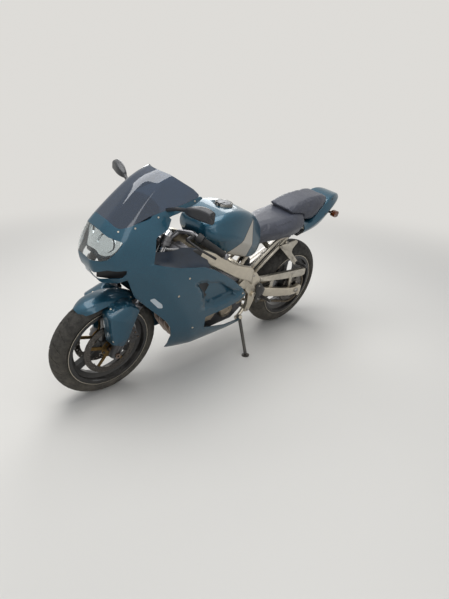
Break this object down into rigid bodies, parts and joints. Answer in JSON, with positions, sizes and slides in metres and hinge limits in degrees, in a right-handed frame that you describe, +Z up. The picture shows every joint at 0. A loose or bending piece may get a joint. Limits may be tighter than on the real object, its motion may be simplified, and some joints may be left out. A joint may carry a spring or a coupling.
{
  "type": "sport bike",
  "caption": "Fully faired sport motorcycle leaning on its side stand, with turning steering, spinning wheels, a folding stand and a hinged filler cap.",
  "frame": {"origin": "on the floor, under the middle of the leaning bike's box", "axes": "+X forward, +Y to the rider's left, the side it leans to, +Z up"},
  "size_m": [2.0497, 0.7991, 1.2033],
  "materials": {
    "polished_aluminium": "polished",
    "black_steel": "satin",
    "cast_alloy": "cast",
    "radiator_black": "matt",
    "brushed_steel": "brushed",
    "blue_paint": "gloss metallic",
    "seat_vinyl": "grained vinyl",
    "red_lens": "clear moulded",
    "dark_lens": "moulded",
    "clear_lens": "clear moulded",
    "smoked_screen": "smoked",
    "black_plastic": "moulded",
    "chain_steel": "oiled",
    "caliper_paint": "satin",
    "fork_alloy": "satin",
    "fork_chrome": "hard chrome",
    "grip_rubber": "moulded",
    "wheel_black": "satin",
    "tyre_rubber": "moulded",
    "disc_steel": "ground"
  },
  "bodies": {
    "chassis": {"main_frame": "polished_aluminium", "subframe": "black_steel", "engine": "cast_alloy", "radiator": "radiator_black", "exhaust": "brushed_steel", "fuel_tank": "blue_paint", "rider_seat": "seat_vinyl", "pillion_seat": "seat_vinyl", "tail_cowl": "blue_paint", "tail_light": "red_lens", "rear_mudguard": "black_plastic", "rear_indicators": "dark_lens", "upper_cowl": "blue_paint", "headlamp": "clear_lens", "windscreen": "smoked_screen", "side_cowl_left": "blue_paint", "side_cowl_right": "blue_paint", "cockpit_panel": "black_plastic", "gauges": "black_plastic", "mirrors": "black_plastic", "front_indicators": "clear_lens", "footrests": "black_steel", "swingarm": "polished_aluminium", "rear_shock": "black_steel", "rear_axle": "brushed_steel", "drive_chain": "chain_steel", "chain_guard": "black_plastic", "rear_caliper": "caliper_paint"},
    "steering": {"yokes": "fork_alloy", "fork_tubes": "fork_chrome", "fork_sliders": "fork_alloy", "front_axle": "brushed_steel", "front_fender": "blue_paint", "handlebars": "fork_alloy", "grips": "grip_rubber", "levers": "black_plastic", "front_calipers": "caliper_paint"},
    "front_wheel": {"front_rim": "wheel_black", "front_tyre": "tyre_rubber", "front_discs": "disc_steel"},
    "rear_wheel": {"rear_rim": "wheel_black", "rear_tyre": "tyre_rubber", "rear_disc": "disc_steel", "rear_sprocket": "chain_steel"},
    "stand": {"side_stand": "black_steel"},
    "cap": {"fuel_cap": "fork_alloy"}
  },
  "joints": [
    {"name": "steering_head", "type": "hinge", "parent": "chassis", "child": "steering", "pos_m": [0.47353, -0.05825, 0.76666], "axis": [-0.4064, 0.1696, 0.8978], "range_deg": [-27, 27]},
    {"name": "front_wheel_spin", "type": "hinge", "parent": "steering", "child": "front_wheel", "pos_m": [0.72499, -0.1472, 0.29583], "axis": [-0.0001, 0.9826, -0.1857], "continuous": true},
    {"name": "rear_wheel_spin", "type": "hinge", "parent": "chassis", "child": "rear_wheel", "pos_m": [-0.675, -0.14386, 0.31397], "axis": [-0.0001, 0.9826, -0.1857], "continuous": true},
    {"name": "side_stand_pivot", "type": "hinge", "parent": "chassis", "child": "stand", "pos_m": [-0.13703, -0.00883, 0.23129], "axis": [0.1224, 0.9162, 0.3815], "range_deg": [0, 93.4]},
    {"name": "fuel_cap_hinge", "type": "hinge", "parent": "chassis", "child": "cap", "pos_m": [0.05121, -0.0185, 0.97719], "axis": [-0.0001, 0.9826, -0.1857], "range_deg": [0, 90]}
  ]
}
